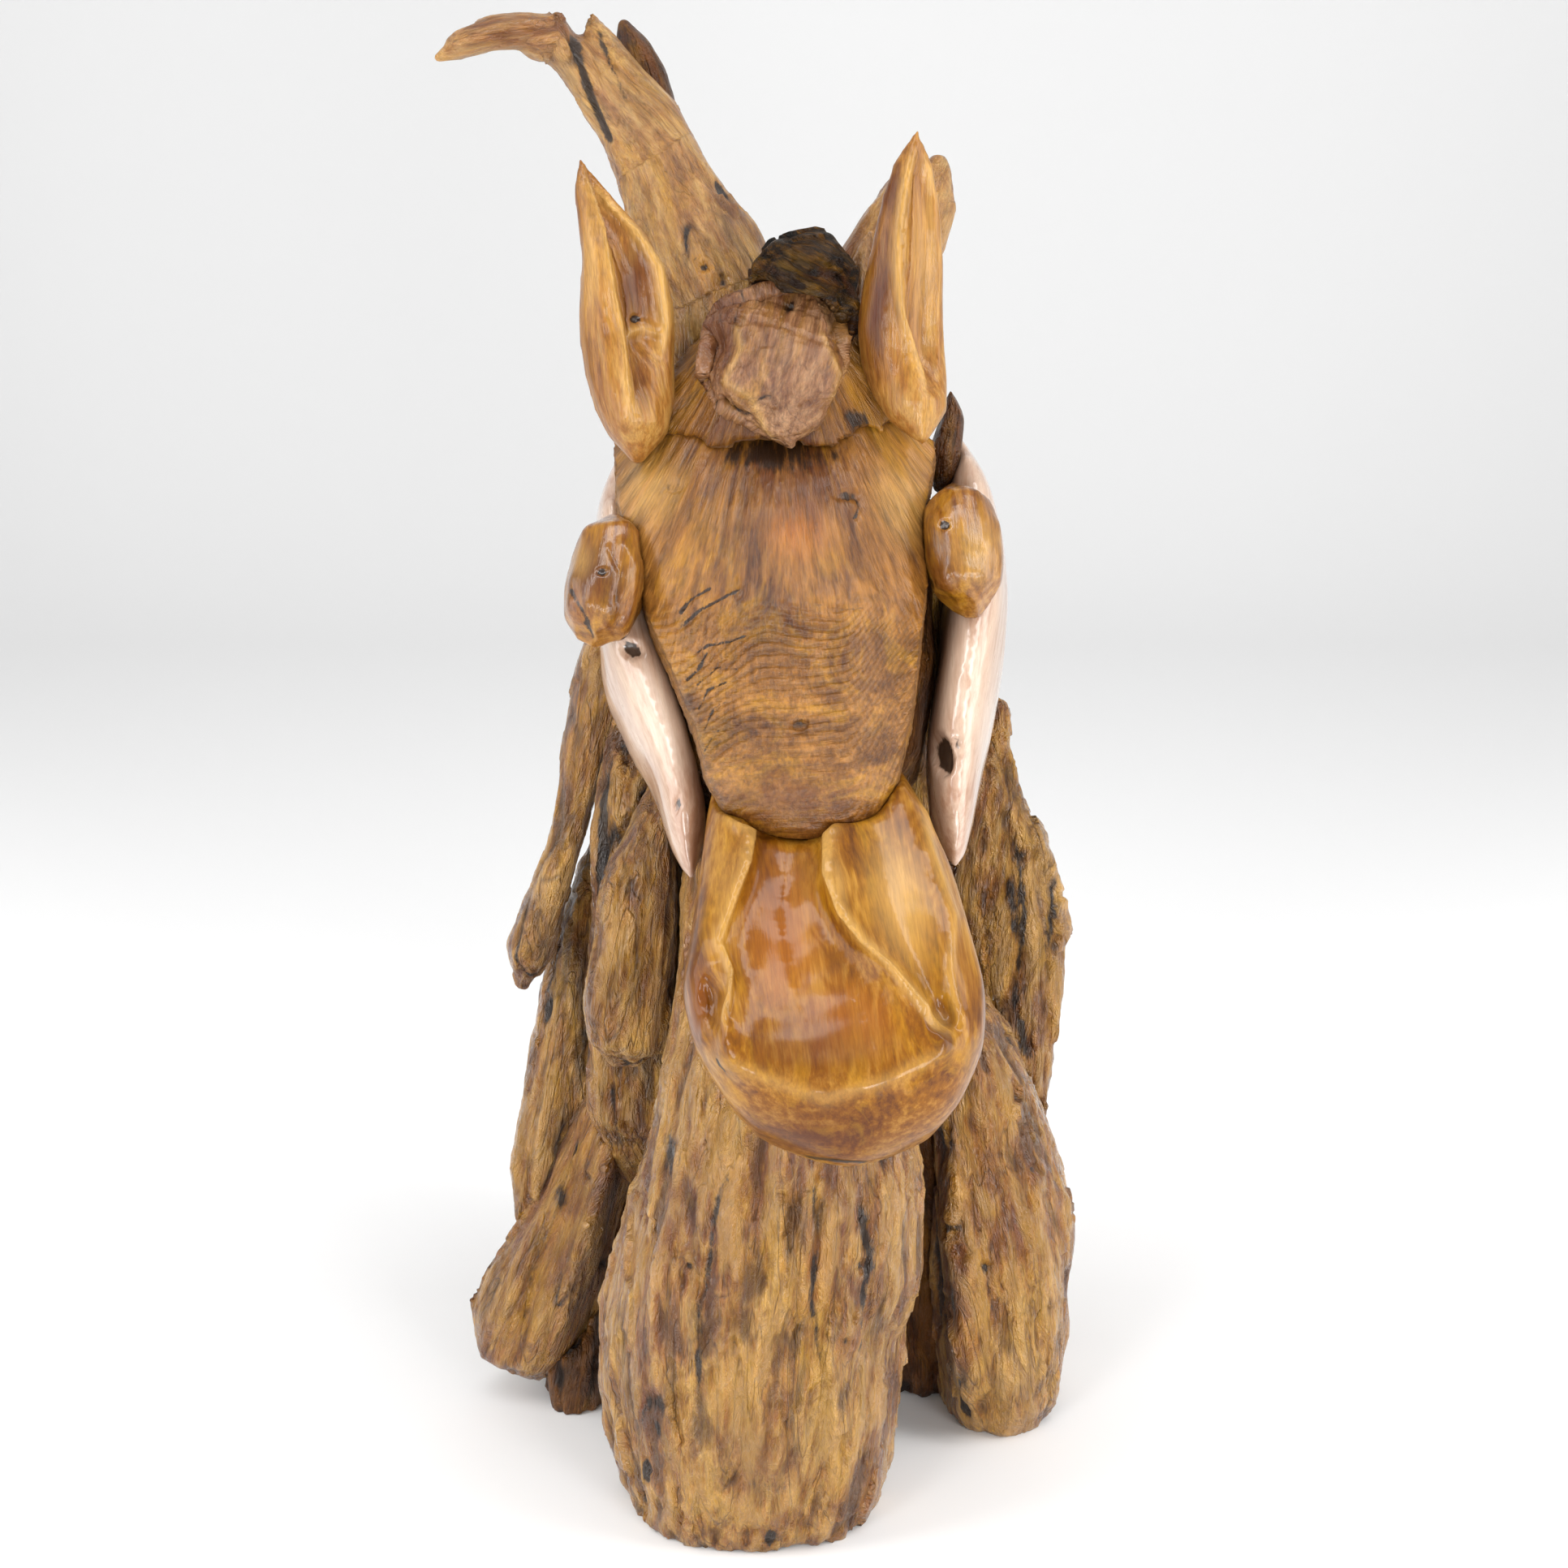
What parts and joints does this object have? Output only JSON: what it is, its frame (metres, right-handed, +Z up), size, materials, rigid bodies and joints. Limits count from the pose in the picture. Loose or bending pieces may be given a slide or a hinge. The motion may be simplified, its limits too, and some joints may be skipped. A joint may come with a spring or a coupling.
{
  "type": "driftwood horse head sculpture",
  "caption": "Life-size horse head and neck assembled from varnished driftwood and root wood, with a curled root as its mane, standing on its own feet.",
  "frame": {"origin": "middle of the footprint of the whole, on the floor", "axes": "+Z up; the horse looks along -Y; +X is to the right as seen from in front of it"},
  "size_m": [0.4314, 0.5718, 0.9497],
  "materials": {
    "honey": "lacquered",
    "amber": "polished and lacquered",
    "tan": "lacquered",
    "rosy": "polished and lacquered",
    "bark": "weathered, lacquered",
    "charred": "burnt, lacquered"
  },
  "bodies": {
    "root": {"face_plate": "honey", "muzzle": "amber", "eye_left": "amber", "eye_right": "honey", "ear_left": "rosy", "ear_right": "tan", "forelock_chunk": "rosy", "forelock_knob": "charred", "cheek_left": "rosy", "cheek_right": "rosy", "mane_flame": "honey", "mane_strip": "bark", "mane_wedge": "tan", "mane_sliver": "tan", "crown": "bark", "skull_block": "bark", "temple_chip": "bark", "chest_trunk": "honey", "leg_right": "honey", "wing_left": "honey", "foot_left": "bark", "shoulder_chunk": "rosy", "strip_left": "honey", "slab_left_inner": "bark", "slab_left_back": "bark", "slab_right": "bark", "block_right": "bark", "neck_log": "bark", "neck_side_left": "honey", "neck_side_right": "honey", "rear_foot_left": "honey", "rear_foot_right": "honey", "crest_low": "honey", "crest_middle": "tan", "crest_upper": "honey"}
  },
  "joints": []
}
